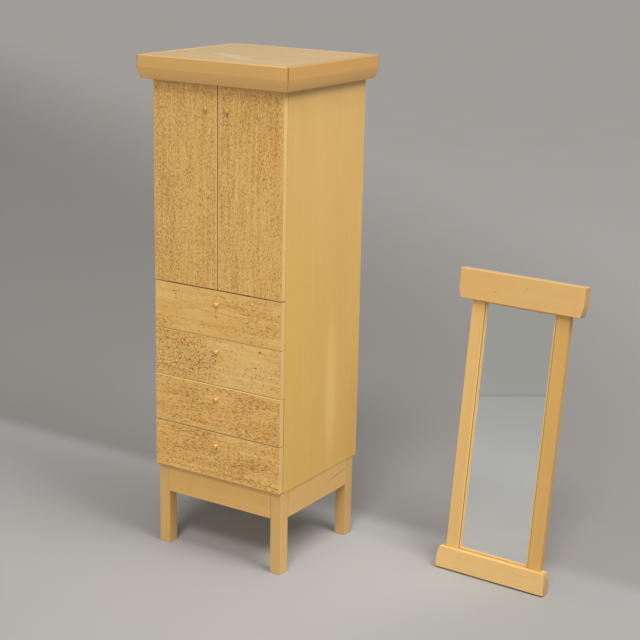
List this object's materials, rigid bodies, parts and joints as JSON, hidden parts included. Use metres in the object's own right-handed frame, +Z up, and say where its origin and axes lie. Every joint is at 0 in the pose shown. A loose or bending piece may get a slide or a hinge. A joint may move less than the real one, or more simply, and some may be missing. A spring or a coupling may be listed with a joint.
{
  "type": "cabinet with matching mirror",
  "caption": "Tall narrow birch cabinet with doors over drawers on a legged base, and its matching framed mirror leaning beside it.",
  "frame": {"origin": "on the floor, under the middle of the box round the cabinet and its mirror", "axes": "+Z up, -Y the way the doors and drawers face, +X to the right of a viewer who faces them"},
  "size_m": [1.2016, 0.5094, 1.483],
  "materials": {
    "birch": "satin clear lacquer",
    "curly_birch": "flecked figured veneer, satin lacquer",
    "inner_birch": "thin matt lacquer",
    "plywood": "plain",
    "turned_birch": "satin lacquer",
    "brass": "brushed",
    "steel": "plain",
    "mirror_glass": "silvered",
    "hardboard": "rough"
  },
  "bodies": {
    "cabinet": {"side_left": "birch", "side_right": "birch", "case_bottom": "inner_birch", "divider": "inner_birch", "shelf": "inner_birch", "case_top": "inner_birch", "back_panel": "plywood", "cornice_front": "birch", "cornice_right": "birch", "cornice_back": "birch", "cornice_left": "birch", "top_panel": "birch", "leg_front_left": "birch", "leg_front_right": "birch", "leg_rear_left": "birch", "leg_rear_right": "birch", "base_rail_front": "birch", "base_rail_rear": "birch", "base_rail_left": "birch", "base_rail_right": "birch", "pivot_top_left": "brass", "pivot_bottom_left": "brass", "pivot_top_right": "brass", "pivot_bottom_right": "brass", "door_catch": "steel", "drawer_1_runner_left": "inner_birch", "drawer_1_runner_right": "inner_birch", "drawer_2_runner_left": "inner_birch", "drawer_2_runner_right": "inner_birch", "drawer_3_runner_left": "inner_birch", "drawer_3_runner_right": "inner_birch", "drawer_4_runner_left": "inner_birch", "drawer_4_runner_right": "inner_birch"},
    "door_left": {"door_left_panel": "curly_birch", "door_left_knob": "turned_birch"},
    "door_right": {"door_right_panel": "curly_birch", "door_right_knob": "turned_birch"},
    "drawer_1": {"drawer_1_front": "curly_birch", "drawer_1_box": "inner_birch", "drawer_1_knob": "turned_birch"},
    "drawer_2": {"drawer_2_front": "curly_birch", "drawer_2_box": "inner_birch", "drawer_2_knob": "turned_birch"},
    "drawer_3": {"drawer_3_front": "curly_birch", "drawer_3_box": "inner_birch", "drawer_3_knob": "turned_birch"},
    "drawer_4": {"drawer_4_front": "curly_birch", "drawer_4_box": "inner_birch", "drawer_4_knob": "turned_birch"},
    "mirror": {"mirror_top_rail": "birch", "mirror_bottom_rail": "birch", "mirror_stile_left": "birch", "mirror_stile_right": "birch", "mirror_slip_bottom": "birch", "mirror_slip_right": "birch", "mirror_slip_top": "birch", "mirror_slip_left": "birch", "mirror_glass": "mirror_glass", "mirror_backboard": "hardboard", "mirror_hanger": "steel"}
  },
  "joints": [
    {"name": "door_left_hinge", "type": "hinge", "parent": "cabinet", "child": "door_left", "pos_m": [-0.56391, -0.21468, 0.832], "axis": [0, 0, -1], "range_deg": [0, 105]},
    {"name": "door_right_hinge", "type": "hinge", "parent": "cabinet", "child": "door_right", "pos_m": [-0.12271, -0.21468, 0.832], "axis": [0, 0, 1], "range_deg": [0, 105]},
    {"name": "drawer_1_slide", "type": "slide", "parent": "cabinet", "child": "drawer_1", "axis": [0, -1, 0], "range_m": [0, 0.3]},
    {"name": "drawer_2_slide", "type": "slide", "parent": "cabinet", "child": "drawer_2", "axis": [0, -1, 0], "range_m": [0, 0.3]},
    {"name": "drawer_3_slide", "type": "slide", "parent": "cabinet", "child": "drawer_3", "axis": [0, -1, 0], "range_m": [0, 0.3]},
    {"name": "drawer_4_slide", "type": "slide", "parent": "cabinet", "child": "drawer_4", "axis": [0, -1, 0], "range_m": [0, 0.3]},
    {"name": "mirror_lean", "type": "hinge", "parent": "cabinet", "child": "mirror", "pos_m": [0.40119, 0.13382, 0], "axis": [0.9996, -0.0279, 0], "range_deg": [0, 7.4]}
  ]
}
